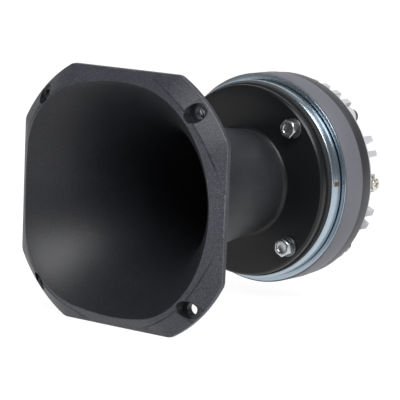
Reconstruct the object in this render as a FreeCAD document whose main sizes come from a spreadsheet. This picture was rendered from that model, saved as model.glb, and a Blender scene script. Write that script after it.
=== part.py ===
import FreeCAD, Part
import math
import os
import Sketcher

# Compression driver bolted to its cast horn. Millimetres, +Z up. The horn's axis is Y: the mouth
# faces -Y and the driver +Y. The origin is the centre of the mounting flange's back face.

os.makedirs("parts", exist_ok=True)
doc = FreeCAD.newDocument("compression_driver")
dims = doc.addObject("Spreadsheet::Sheet", "dims")

DRIVING_DIMENSIONS = [
    ("overrun", 1.0, "how far a cut or a joined form reaches past its neighbour's face"),
    # Horn casting
    ("flangeWidth", 148.5, "across the straight sides of the mounting flange"),
    ("cornerReach", 9.6525, "how far the circle of the corners lies outside the straight sides"),
    ("rimThickness", 3.0, "flange thickness at its rim"),
    ("faceSlopeSide", 41.0, "slope of the flange face at the middle of a side, degrees"),
    ("shoulderRise", 6.5, "height of the face's shoulder above the rim"),
    ("faceRise", 11.0, "height above the rim at which the face is closed inside the mouth"),
    ("faceSlopeInner", 34.0, "slope of the face between its shoulder and the mouth, degrees"),
    ("shoulderFillet", 38.7, "corner radius of the face's shoulder outline"),
    ("mountInset", 19.25, "distance of the corner holes from the flange's straight sides"),
    ("mountHole", 7.0, "diameter of the corner holes"),
    ("mountCounterbore", 11.0, "diameter of the counterbores"),
    ("mountFloor", 4.0, "metal left under each counterbore"),
    ("hornDepth", 119.6, "flange back face to the rear face of the driver flange"),
    ("throatBore", 50.0, "diameter of the throat, a two inch exit"),
    ("throatSlope", 7.5, "half angle of the conical throat, degrees"),
    ("coneLength", 52.7, "length of the conical throat"),
    ("flareRadius", 138.7, "radius of the bell's flare"),
    ("hornWall", 5.5, "wall of the neck and bell"),
    ("neckFillet", 2.5, "fillet between the neck and the driver flange"),
    ("driverFlangeWidth", 117.0, "diameter of the driver flange"),
    ("driverFlangeThickness", 6.1, "thickness of the driver flange"),
    ("driverFlangeChamfer", 1.2, "chamfer round the driver flange"),
    # Fasteners between horn and driver
    ("boltCircle", 101.6, "standard four bolt circle of a two inch exit"),
    ("boltThread", 6.0, "thread of the horn bolts"),
    ("boltLength", 20.0, "length of the horn bolts under the head"),
    ("boltHeadFlats", 10.0, "across flats of the horn bolts"),
    ("boltHeadHeight", 4.0, "height of the hexagon heads"),
    ("flatWasherWidth", 12.0, "outer diameter of the flat washers"),
    ("flatWasherThickness", 1.6, "thickness of the flat washers"),
    ("springWasherWidth", 11.1, "outer diameter of the spring washers"),
    ("springWasherThickness", 1.6, "thickness of the spring washers"),
    ("springWasherGap", 1.5, "split of the spring washers"),
    ("threadClearance", 0.1, "radial gap round a threaded shank"),
    ("boltClearance", 0.4, "radial gap round a bolt in a through hole"),
    ("gasketThickness", 2.0, "gasket between horn and driver"),
    ("gasketWidth", 119.0, "diameter of that gasket"),
    # Magnet system
    ("backPlateWidth", 122.0, "diameter of the back plate"),
    ("backPlateThickness", 9.8, "thickness of the back plate"),
    ("backPlateEdge", 1.2, "rounding of the back plate's front edge"),
    ("backPlateLedge", 1.1, "thickness of the wider ledge behind the groove"),
    ("ledgeWidth", 127.8, "diameter of that ledge"),
    ("ledgeChamfer", 0.5, "chamfer of that ledge"),
    ("lineGroove", 0.8, "width and depth of the groove before the ledge"),
    ("magnetWidth", 129.6, "outer diameter of the ferrite ring"),
    ("magnetBore", 82.0, "bore of the ferrite ring"),
    ("magnetThickness", 16.7, "thickness of the ferrite ring"),
    ("magnetEdge", 0.5, "ground edges of the ferrite ring"),
    ("topPlateWidth", 128.2, "diameter of the top plate"),
    ("topPlateThickness", 9.8, "thickness of the top plate"),
    ("topPlateEdge", 0.7, "chamfers of the top plate"),
    ("poleWidth", 70.6, "diameter of the pole piece in the gap"),
    ("poleSpigot", 60.0, "diameter of the spigot pressed into the back plate"),
    ("poleMouth", 66.0, "bore of the pole piece at its rear face"),
    ("poleWaist", 47.0, "bore where the plug's channels meet"),
    ("poleWaistDepth", 21.0, "depth of that place below the pole's rear face"),
    ("coilBore", 71.8, "inner diameter of the voice coil former"),
    ("formerWall", 0.2, "wall of the former"),
    ("windingBuild", 0.5, "thickness of the winding"),
    ("windingHeight", 5.0, "height of the winding"),
    ("coilClearance", 0.5, "radial gap between the winding and the top plate"),
    ("formerLength", 9.4, "height of the former"),
    ("domeSeat", 1.5, "height of the dome's edge above the top plate"),
    ("domeRadius", 48.3, "outer radius of curvature of the dome"),
    ("domeWall", 0.3, "wall of the dome"),
    ("plugGap", 1.0, "gap between the dome and the phase plug"),
    # Phase plug
    ("plugLip", 69.6, "diameter of the plug's lip on the pole"),
    ("plugSlot", 1.5, "width of the annular channels at the dome"),
    ("bulletWidth", 24.0, "diameter of the centre bullet at the dome"),
    ("midRingWidth", 47.0, "outer diameter of the middle ring at the dome"),
    ("plugRib", 1.6, "thickness of the ribs that join the rings"),
    ("ribHeight", 17.0, "height of the ribs above the pole's waist"),
    ("plugClearance", 0.15, "gap between the plug's cone and the pole"),
    ("bulletLength", 40.0, "length of the bullet below the dome's seat"),
    ("bulletTaper", 0.55, "width of the bullet at the pole's waist, over its width at the dome"),
    ("midRingTaper", 0.62, "width of the middle ring at the waist, over the waist"),
    ("midRingStep", 2.0, "height of the bevel at the middle ring's lower edge"),
    ("plugThinEdge", 0.6, "thickness of the rings at their lower edges"),
    # Diaphragm mounting
    ("ringBore", 82.0, "bore of the diaphragm ring"),
    ("ringLedge", 88.4, "diameter of the ledge that holds the surround"),
    ("ringWidth", 104.0, "outer diameter of the diaphragm ring"),
    ("ringThickness", 4.0, "thickness of the diaphragm ring"),
    ("surroundWall", 0.3, "thickness of the surround"),
    ("surroundRoll", 2.0, "radius of the surround's roll"),
    ("surroundRollWidth", 3.2, "width of that roll"),
    ("surroundInset", 0.4, "distance of the roll from the ring's bore"),
    ("bondGap", 0.1, "gap at the bonded edge of the surround"),
    ("ringScrewCircle", 96.0, "circle of the ring screws and dowels"),
    ("ringScrewThread", 3.0, "thread of the ring screws"),
    ("ringScrewHead", 5.5, "head diameter of the ring screws"),
    ("ringScrewHeadHeight", 1.5, "head height of the ring screws"),
    ("ringScrewLength", 6.0, "length of the ring screws under the head"),
    ("dowelWidth", 3.0, "diameter of the dowels"),
    ("dowelDepth", 5.5, "depth of the dowels in the top plate"),
    ("dowelFit", 0.02, "radial gap round the dowels in the top plate"),
    ("headRecess", 0.1, "how far the screw heads lie below the ring's face"),
    ("dowelRecess", 0.5, "how far the dowels end below the ring's face"),
    # Rear cover
    ("coverGasketThickness", 0.8, "gasket under the rear cover"),
    ("coverWidth", 124.6, "diameter of the cover's base flange"),
    ("coverFlangeThickness", 3.3, "thickness of the cover's base flange"),
    ("coverWallWidth", 113.0, "diameter of the cover's side wall"),
    ("coverWallHeight", 11.5, "height of the side wall above the top plate"),
    ("coverCavity", 90.0, "diameter of the rear chamber"),
    ("coverCavityDepth", 21.3, "depth of the rear chamber above the top plate"),
    ("coverFlangeChamfer", 0.8, "chamfer of the base flange"),
    ("coverWallDraft", 0.6, "how far the side wall leans in"),
    ("coverShoulder", 3.0, "rise of the shoulder between the wall and the crown"),
    ("coverRoof", 3.0, "metal behind the rear chamber"),
    ("shoulderWidth", 8.5, "distance of the raised crown from the foot of the side wall"),
    ("crownBevel", 4.0, "how far the crown's side leans in"),
    ("coverHub", 48.0, "diameter of the plain hub"),
    ("hubRise", 2.0, "height of the hub above the roof"),
    ("hubBevel", 1.0, "how far the hub's side leans in"),
    ("cavityChamfer", 4.0, "chamfer at the end of the rear chamber"),
    ("seatGap", 0.5, "gap round the diaphragm ring in its seat"),
    ("gasketInset", 0.2, "how far the cover gasket stays inside the base flange"),
    ("finWidth", 120.8, "diameter over the fins"),
    ("finThickness", 3.6, "thickness of the fins"),
    ("finSideHeight", 16.0, "height of the fins at their outer ends, above the top plate"),
    ("finCorner", 1.5, "rounding of the fins at their outer ends"),
    ("finShoulder", 2.0, "how far the fins lean in beside the crown"),
    ("finSink", 0.5, "how deep the fins reach into the wall and the base flange"),
    ("finCrownHeight", 26.6, "height of the fins at the hub, above the top plate"),
    ("finPitch", 9.0, "angle between the fins, degrees"),
    ("coverScrewCircle", 112.6, "circle of the cover screws"),
    ("coverScrewThread", 5.0, "thread of the cover screws"),
    ("coverScrewHead", 8.5, "head diameter of the cover screws"),
    ("coverScrewHeadHeight", 5.0, "head height of the cover screws"),
    ("coverScrewLength", 12.5, "length of the cover screws under the head"),
    ("coverScrewSeatGap", 0.6, "gap round those heads in the wall"),
    ("coverBoss", 12.0, "diameter of the screw bosses"),
    ("coverBossHeight", 7.5, "height of the screw bosses above the top plate"),
    ("padThickness", 2.0, "felt pad in the rear chamber"),
    ("padMargin", 5.0, "distance of that pad from the chamfer of the chamber"),
    # Terminals
    ("terminalHeight", 9.0, "height of the terminals above the top plate"),
    ("terminalPadWidth", 11.0, "width of the pad that carries a terminal"),
    ("terminalPadReach", 57.2, "distance of the pad's face from the axis"),
    ("terminalPadMargin", 1.0, "metal of that pad above the bush"),
    ("terminalSeat", 45.4, "distance of the flat inside the chamber from the axis"),
    ("lugMargin", 1.5, "gap round the lug and the nut in that flat"),
    ("bushWidth", 9.4, "diameter of the insulating bush's flange"),
    ("bushFlange", 1.5, "thickness of that flange"),
    ("bushBody", 6.4, "diameter of the bush in the wall"),
    ("terminalThread", 4.0, "thread of the terminal screws"),
    ("terminalHead", 7.6, "head diameter of the terminal screws"),
    ("terminalHeadHeight", 2.6, "head height of the terminal screws"),
    ("clampWasher", 8.4, "diameter of the clamp washers"),
    ("clampWasherThickness", 0.9, "thickness of the clamp washers"),
    ("lugThickness", 0.8, "thickness of the solder lugs"),
    ("lugWidth", 6.0, "width of the solder lugs"),
    ("lugTag", 4.4, "reach of the lug's tag from the screw's axis"),
    ("terminalNutFlats", 7.0, "across flats of the terminal nuts"),
    ("terminalNutHeight", 3.0, "height of the terminal nuts"),
    ("leadWidth", 2.4, "width of the lead strips"),
    ("leadThickness", 0.3, "thickness of the lead strips"),
    ("leadInset", 0.6, "distance of the lead strips from the ring's ledge"),
]

for row, (alias, number, note) in enumerate(DRIVING_DIMENSIONS, start=1):
    dims.set("A%d" % row, note)
    dims.set("B%d" % row, str(number))
    dims.setAlias("B%d" % row, alias)
doc.recompute()


def value(expression):
    """Number that an expression of the sheet gives now."""
    result = dims.evalExpression(expression)
    return float(getattr(result, "Value", result))


# Places along the axis, from the flange's back face to the rear
HORN_REAR = "dims.hornDepth"
DISC_FRONT = "(dims.hornDepth - dims.driverFlangeThickness)"
PLATE_FRONT = "(dims.hornDepth + dims.gasketThickness)"
PLATE_REAR = "(%s + dims.backPlateThickness)" % PLATE_FRONT
MAGNET_REAR = "(%s + dims.magnetThickness)" % PLATE_REAR
TOP_REAR = "(%s + dims.topPlateThickness)" % MAGNET_REAR
DOME_BASE = "(%s + dims.domeSeat)" % TOP_REAR
COVER_BASE = "(%s + dims.coverGasketThickness)" % TOP_REAR
CAVITY_END = "(%s + dims.coverCavityDepth)" % TOP_REAR
RING_TOP = "(%s + dims.ringThickness)" % TOP_REAR
BOSS_TOP = "(%s + dims.coverBossHeight)" % TOP_REAR
TERMINAL_Y = "(%s + dims.terminalHeight)" % TOP_REAR
CROWN_R = "(dims.coverWallWidth / 2 - dims.shoulderWidth)"

# Flare of the bell: one arc, tangent to the conical throat
CONE_END_Y = "(dims.hornDepth - dims.coneLength)"
CONE_END_R = "(dims.throatBore / 2 + dims.coneLength * tan(dims.throatSlope * 1deg))"
FLARE_Y = "(%s + dims.flareRadius * sin(dims.throatSlope * 1deg))" % CONE_END_Y
FLARE_R = "(%s + dims.flareRadius * cos(dims.throatSlope * 1deg))" % CONE_END_R
FLANGE_CIRCLE = "(dims.flangeWidth + 2 * dims.cornerReach)"
FORMER_R = "(dims.coilBore / 2 + dims.formerWall)"
DOME_CENTRE = "(%s - sqrt(dims.domeRadius ^ 2 - %s ^ 2))" % (DOME_BASE, FORMER_R)


def ahead(place):
    """Place a little before a face, where a cut or a joined form starts."""
    return "(%s - dims.overrun)" % place


def behind(place):
    """Place a little past a face, where a cut or a joined form ends."""
    return "(%s + dims.overrun)" % place


# First fin of each row, in fin pitches round from +X
LONG_ROWS = (6, 26)
SHORT_ROWS = (2, 17, 22, 37)


def newBody(name):
    body = doc.addObject("PartDesign::Body", name)
    body.Label = name
    return body


def newSketch(body, name, plane, offset=None, turn=None):
    """Sketch on one of the body's origin planes, moved along its normal or turned about the Y axis."""
    sketch = body.newObject("Sketcher::SketchObject", name)
    role = [item for item in body.Origin.OriginFeatures if item.Role == plane][0]
    sketch.AttachmentSupport = [(role, "")]
    sketch.MapMode = "FlatFace"
    if offset is not None:
        sketch.setExpression("AttachmentOffset.Base.z", offset)
    if turn is not None:
        sketch.AttachmentOffset = FreeCAD.Placement(FreeCAD.Vector(), FreeCAD.Vector(0, 1, 0), 1)
        sketch.setExpression("AttachmentOffset.Rotation.Angle", turn)
    return sketch


def bind(sketch, kind, *reference):
    """Constraint whose value is the expression given last."""
    expression = reference[-1]
    index = sketch.addConstraint(Sketcher.Constraint(kind, *reference[:-1], value(expression)))
    sketch.setExpression("Constraints[%d]" % index, expression)


def outline(sketch, steps):
    """Closed outline. Each step is (x, y) or (x, y, radius, side): an arc comes to that point."""
    points = [FreeCAD.Vector(value(step[0]), value(step[1]), 0) for step in steps]
    first = sketch.GeometryCount
    for index, step in enumerate(steps):
        start, end = points[index - 1], points[index]
        if len(step) == 2:
            sketch.addGeometry(Part.LineSegment(start, end), False)
            continue
        radius, side = value(step[2]), step[3]
        chord = end - start
        rise = math.sqrt(max(radius ** 2 - (chord.Length / 2) ** 2, 0.0))
        normal = FreeCAD.Vector(-chord.y, chord.x, 0).normalize()
        centre = (start + end) * 0.5 + normal * (rise * side)
        ends = (start, end) if side > 0 else (end, start)
        angles = [math.atan2(point.y - centre.y, point.x - centre.x) for point in ends]
        ring = Part.Circle(centre, FreeCAD.Vector(0, 0, 1), radius)
        sketch.addGeometry(Part.ArcOfCircle(ring, angles[0], angles[1]), False)
    count = len(steps)
    for index, step in enumerate(steps):
        edge = first + index
        if len(step) == 2:
            startPoint, endPoint = 1, 2
        else:
            startPoint, endPoint = (1, 2) if step[3] > 0 else (2, 1)
        following = first + (index + 1) % count
        nextStep = steps[(index + 1) % count]
        nextStart = 1 if len(nextStep) == 2 or nextStep[3] > 0 else 2
        sketch.addConstraint(Sketcher.Constraint("Coincident", edge, endPoint, following, nextStart))
        bind(sketch, "DistanceX", -1, 1, edge, endPoint, step[0])
        bind(sketch, "DistanceY", -1, 1, edge, endPoint, step[1])
        if len(step) == 4:
            bind(sketch, "Radius", edge, step[2])


def circle(sketch, x, y, radius):
    """Circle at a place given by expressions."""
    centre = FreeCAD.Vector(value(x), value(y), 0)
    edge = sketch.addGeometry(Part.Circle(centre, FreeCAD.Vector(0, 0, 1), value(radius)), False)
    bind(sketch, "DistanceX", -1, 1, edge, 3, x)
    bind(sketch, "DistanceY", -1, 1, edge, 3, y)
    bind(sketch, "Radius", edge, radius)


def turned(body, name, steps, cut=False):
    """Profile of radius and height, turned about the horn's axis."""
    sketch = newSketch(body, name + "Profile", "XY_Plane")
    outline(sketch, steps)
    kind = "PartDesign::Groove" if cut else "PartDesign::Revolution"
    feature = body.newObject(kind, name)
    feature.Profile = sketch
    feature.ReferenceAxis = (sketch, ["V_Axis"])
    feature.Angle = 360
    doc.recompute()
    return feature


def extruded(body, name, sketch, length, cut=False, backward=False, midplane=False):
    """Pad or pocket of a sketch, with its length bound to the sheet."""
    feature = body.newObject("PartDesign::Pocket" if cut else "PartDesign::Pad", name)
    feature.Profile = sketch
    feature.Type = 0
    feature.setExpression("Length", length)
    feature.Reversed = backward
    feature.Midplane = midplane
    doc.recompute()
    return feature


def roundArray(body, name, features, count):
    """Equal copies of features round the horn's axis."""
    pattern = body.newObject("PartDesign::PolarPattern", name)
    pattern.Originals = features
    axis = [item for item in body.Origin.OriginFeatures if item.Role == "Y_Axis"][0]
    pattern.Axis = (axis, [""])
    pattern.Angle = 360
    pattern.Occurrences = count
    body.Tip = pattern
    doc.recompute()
    return pattern


def holes(body, name, circleWidth, radius, angle, near, far, count=4):
    """Round holes on a circle about the horn's axis, between two places along it."""
    sketch = newSketch(body, name + "Circle", "XZ_Plane", "-(%s)" % near)
    circle(sketch, "%s / 2 * cos(%s * 1deg)" % (circleWidth, angle),
           "%s / 2 * sin(%s * 1deg)" % (circleWidth, angle), radius)
    pocket = extruded(body, name, sketch, "(%s) - (%s)" % (far, near), cut=True)
    return roundArray(body, name + "Pattern", [pocket], count)


def clipped(half, circleWidth):
    """Square outline whose corners are one circle about the middle: four sides and four arcs."""
    reach = "sqrt((%s / 2) ^ 2 - (%s) ^ 2)" % (circleWidth, half)
    radius = "%s / 2" % circleWidth
    minus = "-(%s)"
    return [(half, minus % reach), (half, reach), (reach, half, radius, 1), (minus % reach, half),
            (minus % half, reach, radius, 1), (minus % half, minus % reach),
            (minus % reach, minus % half, radius, 1), (reach, minus % half),
            (half, minus % reach, radius, 1)][1:]


def roundedSquare(half, corner):
    """Square outline with tangent corner arcs."""
    reach = "(%s - %s)" % (half, corner)
    minus = "-%s"
    return [(half, reach), (reach, half, corner, 1), (minus % reach, half),
            (minus % half, reach, corner, 1), (minus % half, minus % reach),
            (minus % reach, minus % half, corner, 1), (reach, minus % half),
            (half, minus % reach, corner, 1)]


def buildHorn():
    """One casting: bevelled square flange, flared bell, neck and round driver flange."""
    body = newBody("horn")
    half = "dims.flangeWidth / 2"
    rim = newSketch(body, "flangeOutline", "XZ_Plane")
    outline(rim, clipped(half, FLANGE_CIRCLE))
    extruded(body, "flangeRim", rim, "dims.rimThickness")

    # The face rises from the rim over a shoulder and leans in towards the mouth
    sideIn = "dims.shoulderRise / tan(dims.faceSlopeSide * 1deg)"
    innerIn = "(dims.faceRise - dims.shoulderRise) / tan(dims.faceSlopeInner * 1deg)"
    levels = [("faceFoot", "dims.rimThickness", None),
              ("faceShoulder", "dims.rimThickness + dims.shoulderRise", "(%s - %s)" % (half, sideIn)),
              ("faceTop", "dims.rimThickness + dims.faceRise",
               "(%s - %s - %s)" % (half, sideIn, innerIn))]
    sections = []
    for name, height, width in levels:
        section = newSketch(body, name, "XZ_Plane", height)
        if width is None:
            outline(section, clipped(half, FLANGE_CIRCLE))
        else:
            outline(section, roundedSquare(width, "dims.shoulderFillet"))
        sections.append(section)
    face = body.newObject("PartDesign::AdditiveLoft", "flangeFace")
    face.Profile = sections[0]
    face.Sections = sections[1:]
    face.Ruled = True
    doc.recompute()

    # Outside of the bell and neck, filled to the axis
    outerFlare = "(dims.flareRadius - dims.hornWall)"
    start = "-dims.rimThickness / 2"
    startR = "(%s - sqrt(%s ^ 2 - (%s - (%s)) ^ 2))" % (FLARE_R, outerFlare, FLARE_Y, start)
    neckY = "(%s + dims.hornWall * sin(dims.throatSlope * 1deg))" % CONE_END_Y
    neckR = "(%s + dims.hornWall * cos(dims.throatSlope * 1deg))" % CONE_END_R
    filletY = "(%s - dims.neckFillet)" % DISC_FRONT
    filletR = "(%s - (%s - %s) * tan(dims.throatSlope * 1deg))" % (neckR, filletY, neckY)
    discR = "dims.driverFlangeWidth / 2"
    turned(body, "bellOutside", [
        ("0", start), (startR, start), (neckR, neckY, outerFlare, -1), (filletR, filletY),
        ("(%s + dims.neckFillet)" % filletR, DISC_FRONT, "dims.neckFillet", -1),
        ("(%s - dims.driverFlangeChamfer)" % discR, DISC_FRONT),
        (discR, "(%s + dims.driverFlangeChamfer)" % DISC_FRONT), (discR, HORN_REAR), ("0", HORN_REAR)])

    # Inside: conical throat, then the flare out to the mouth
    front = ahead("-dims.rimThickness - dims.faceRise")
    frontR = "(%s - sqrt(dims.flareRadius ^ 2 - (%s - %s) ^ 2))" % (FLARE_R, FLARE_Y, front)
    bore = "dims.throatBore / 2"
    turned(body, "bellInside", [
        ("0", front), (frontR, front), (CONE_END_R, CONE_END_Y, "dims.flareRadius", -1),
        (bore, HORN_REAR), (bore, behind(HORN_REAR)), ("0", behind(HORN_REAR))], cut=True)

    # Corner holes with counterbores for the screw heads
    through = newSketch(body, "mountHoles", "XZ_Plane")
    sunk = newSketch(body, "mountCounterbores", "XZ_Plane", "dims.mountFloor")
    place = "(%s - dims.mountInset)" % half
    for signX in ("", "-"):
        for signZ in ("", "-"):
            x, z = signX + place, signZ + place
            circle(through, x, z, "dims.mountHole / 2")
            circle(sunk, x, z, "dims.mountCounterbore / 2")
    extruded(body, "mountHolesCut", through, "dims.rimThickness + dims.faceRise", cut=True, backward=True)
    extruded(body, "mountCounterboresCut", sunk, "dims.faceRise", cut=True, backward=True)
    holes(body, "driverBolts", "dims.boltCircle", "dims.boltThread / 2 + dims.boltClearance", "45",
          ahead(DISC_FRONT), behind(HORN_REAR))


def hexagon(sketch, x, y, flats):
    """Hexagon with two corners along the sketch's x direction."""
    corner, side = "%s / sqrt(3)" % flats, "%s / 2" % flats
    outline(sketch, [
        ("%s + %s" % (x, corner), y), ("%s + %s / 2" % (x, corner), "%s + %s" % (y, side)),
        ("%s - %s / 2" % (x, corner), "%s + %s" % (y, side)), ("%s - %s" % (x, corner), y),
        ("%s - %s / 2" % (x, corner), "%s - %s" % (y, side)),
        ("%s + %s / 2" % (x, corner), "%s - %s" % (y, side))])


def splitRing(sketch, x, y, outer, inner, gap):
    """Open ring of a spring washer, split on its outward side."""
    half = "%s / 2" % gap
    outerX = "%s + sqrt((%s) ^ 2 - (%s) ^ 2)" % (x, outer, half)
    innerX = "%s + sqrt((%s) ^ 2 - (%s) ^ 2)" % (x, inner, half)
    above, below = "%s + %s" % (y, half), "%s - %s" % (y, half)
    outline(sketch, [
        (outerX, above), ("%s - %s" % (x, outer), y, outer, 1), (outerX, below, outer, 1),
        (innerX, below), ("%s - %s" % (x, inner), y, inner, -1), (innerX, above, inner, -1)])


def rectangle(sketch, left, right, low, high):
    outline(sketch, [(left, low), (right, low), (right, high), (left, high)])


def fastenerGroup(name, circleWidth, angle, levels, count=4):
    """Equal fasteners on a circle. Each level is (start, length, outline, sizes), along +Y."""
    body = newBody(name)
    body.AllowCompound = True
    x = "%s / 2 * cos(%s * 1deg)" % (circleWidth, angle)
    y = "%s / 2 * sin(%s * 1deg)" % (circleWidth, angle)
    pads = []
    for index, (start, length, shape, sizes) in enumerate(levels):
        sketch = newSketch(body, "%sSection%d" % (name, index), "XZ_Plane", "-(%s)" % start)
        shape(sketch, x, y, *sizes)
        pads.append(extruded(body, "%sPad%d" % (name, index), sketch, length, backward=True))
    roundArray(body, name + "Array", pads, count)


def ring(sketch, x, y, outer, inner):
    circle(sketch, x, y, outer)
    circle(sketch, x, y, inner)


def buildHornFasteners():
    """Four hexagon bolts, each with a spring washer and a flat washer."""
    flatTop = "(%s - dims.flatWasherThickness)" % DISC_FRONT
    headSeat = "(%s - dims.springWasherThickness)" % flatTop
    shank = "dims.boltThread / 2"
    bore = "(%s + dims.boltClearance / 2)" % shank
    fastenerGroup("horn_bolts", "dims.boltCircle", "45", [
        ("(%s - dims.boltHeadHeight)" % headSeat, "dims.boltHeadHeight", hexagon, ["dims.boltHeadFlats"]),
        (headSeat, "dims.boltLength", circle, ["(%s - dims.threadClearance)" % shank])])
    fastenerGroup("spring_washers", "dims.boltCircle", "45", [
        (headSeat, "dims.springWasherThickness", splitRing,
         ["dims.springWasherWidth / 2", bore, "dims.springWasherGap"])])
    fastenerGroup("flat_washers", "dims.boltCircle", "45", [
        (flatTop, "dims.flatWasherThickness", ring, ["dims.flatWasherWidth / 2", bore])])


def buildGasket():
    body = newBody("horn_gasket")
    wide, bore = "dims.gasketWidth / 2", "dims.throatBore / 2"
    turned(body, "gasketRing", [(bore, HORN_REAR), (wide, HORN_REAR), (wide, PLATE_FRONT),
                                (bore, PLATE_FRONT)])
    holes(body, "gasketHoles", "dims.boltCircle", "dims.boltThread / 2 + dims.boltClearance", "45",
          ahead(HORN_REAR), behind(PLATE_FRONT))


def buildMagnetSystem():
    """Back plate, pole piece, ferrite ring and top plate, stacked along the axis."""
    plate = newBody("back_plate")
    wide, ledge = "dims.backPlateWidth / 2", "dims.ledgeWidth / 2"
    ledgeY = "(%s - dims.backPlateLedge)" % PLATE_REAR
    grooveY = "(%s - dims.lineGroove)" % ledgeY
    inner = "(%s - dims.lineGroove)" % wide
    spigot, edge = "dims.poleSpigot / 2", "dims.backPlateEdge"
    turned(plate, "plateDisc", [
        (spigot, PLATE_FRONT), ("(%s - %s)" % (wide, edge), PLATE_FRONT),
        (wide, "(%s + %s)" % (PLATE_FRONT, edge), edge, 1), (wide, grooveY), (inner, grooveY),
        (inner, ledgeY), ("(%s - dims.ledgeChamfer)" % ledge, ledgeY),
        (ledge, "(%s + dims.ledgeChamfer)" % ledgeY),
        (ledge, PLATE_REAR), (spigot, PLATE_REAR)])
    holes(plate, "plateTaps", "dims.boltCircle", "dims.boltThread / 2", "45",
          ahead(PLATE_FRONT), behind(PLATE_REAR))

    pole = newBody("pole_piece")
    outer, mouth, waist = "dims.poleWidth / 2", "dims.poleMouth / 2", "dims.poleWaist / 2"
    waistY = "(%s - dims.poleWaistDepth)" % TOP_REAR
    turned(pole, "poleTurned", [
        ("dims.throatBore / 2", PLATE_FRONT), (spigot, PLATE_FRONT), (spigot, PLATE_REAR),
        (outer, PLATE_REAR), (outer, TOP_REAR), (mouth, TOP_REAR), (waist, waistY)])

    magnet = newBody("ferrite_magnet")
    wide, bore, edge = "dims.magnetWidth / 2", "dims.magnetBore / 2", "dims.magnetEdge"
    turned(magnet, "magnetRing", [
        (bore, PLATE_REAR), ("(%s - %s)" % (wide, edge), PLATE_REAR),
        (wide, "(%s + %s)" % (PLATE_REAR, edge)), (wide, "(%s - %s)" % (MAGNET_REAR, edge)),
        ("(%s - %s)" % (wide, edge), MAGNET_REAR), (bore, MAGNET_REAR)])

    top = newBody("top_plate")
    wide, edge = "dims.topPlateWidth / 2", "dims.topPlateEdge"
    bore = "(%s + dims.windingBuild + dims.coilClearance)" % FORMER_R
    turned(top, "topPlateDisc", [
        (bore, MAGNET_REAR), ("(%s - %s)" % (wide, edge), MAGNET_REAR),
        (wide, "(%s + %s)" % (MAGNET_REAR, edge)), (wide, "(%s - %s)" % (TOP_REAR, edge)),
        ("(%s - %s)" % (wide, edge), TOP_REAR), (bore, TOP_REAR)])
    holes(top, "coverTaps", "dims.coverScrewCircle", "dims.coverScrewThread / 2", "45",
          ahead(MAGNET_REAR), behind(TOP_REAR))
    holes(top, "ringTaps", "dims.ringScrewCircle", "dims.ringScrewThread / 2", "45",
          ahead(MAGNET_REAR), behind(TOP_REAR))
    holes(top, "dowelHoles", "dims.ringScrewCircle", "dims.dowelWidth / 2", "90",
          "(%s - dims.dowelDepth)" % TOP_REAR, behind(TOP_REAR), count=2)


def sphereY(radius, r):
    """Height of the dome's concentric sphere at a distance from the axis."""
    return "(%s + sqrt((%s) ^ 2 - (%s) ^ 2))" % (DOME_CENTRE, radius, r)


def buildPhasePlug():
    """Moulded plug: a bullet and two rings that leave annular channels, joined by thin ribs."""
    body = newBody("phase_plug")
    ball = "(dims.domeRadius - dims.domeWall - dims.plugGap)"
    lip, mouth = "dims.plugLip / 2", "dims.poleMouth / 2"
    waistY = "(%s - dims.poleWaistDepth)" % TOP_REAR
    slot, gap = "dims.plugSlot", "dims.plugClearance"
    bullet, middle = "dims.bulletWidth / 2", "dims.midRingWidth / 2"
    middleIn, outerIn = "(%s + %s)" % (bullet, slot), "(%s + %s)" % (middle, slot)
    waist = "(dims.poleWaist / 2 - %s)" % gap
    thin, taper = "dims.plugThinEdge", "dims.midRingTaper"

    turned(body, "outerRing", [
        ("(%s - %s)" % (mouth, gap), TOP_REAR), (lip, TOP_REAR), (lip, sphereY(ball, lip)),
        (outerIn, sphereY(ball, outerIn), ball, 1), ("(%s - %s)" % (waist, thin), waistY),
        (waist, waistY)])
    turned(body, "middleRing", [
        (middle, sphereY(ball, middle)), (middleIn, sphereY(ball, middleIn), ball, 1),
        ("(%s * %s)" % (waist, taper), "(%s + dims.midRingStep)" % waistY),
        ("(%s * %s + %s)" % (waist, taper, thin), waistY)])
    tipY = "(%s - dims.bulletLength)" % DOME_BASE
    turned(body, "bullet", [
        (bullet, sphereY(ball, bullet)), ("0", sphereY(ball, "0"), ball, 1), ("0", tipY),
        ("(%s * dims.bulletTaper)" % bullet, waistY)])
    ribs = newSketch(body, "ribs", "XY_Plane")
    low, high = behind(waistY), "(%s + dims.ribHeight)" % waistY
    outline(ribs, [("0", low), ("(%s - dims.plugClearance)" % waist, low), (behind(outerIn), high),
                   ("0", high)])
    rib = extruded(body, "ribPad", ribs, "dims.plugRib", midplane=True)
    roundArray(body, "ribArray", [rib], 4)


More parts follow.
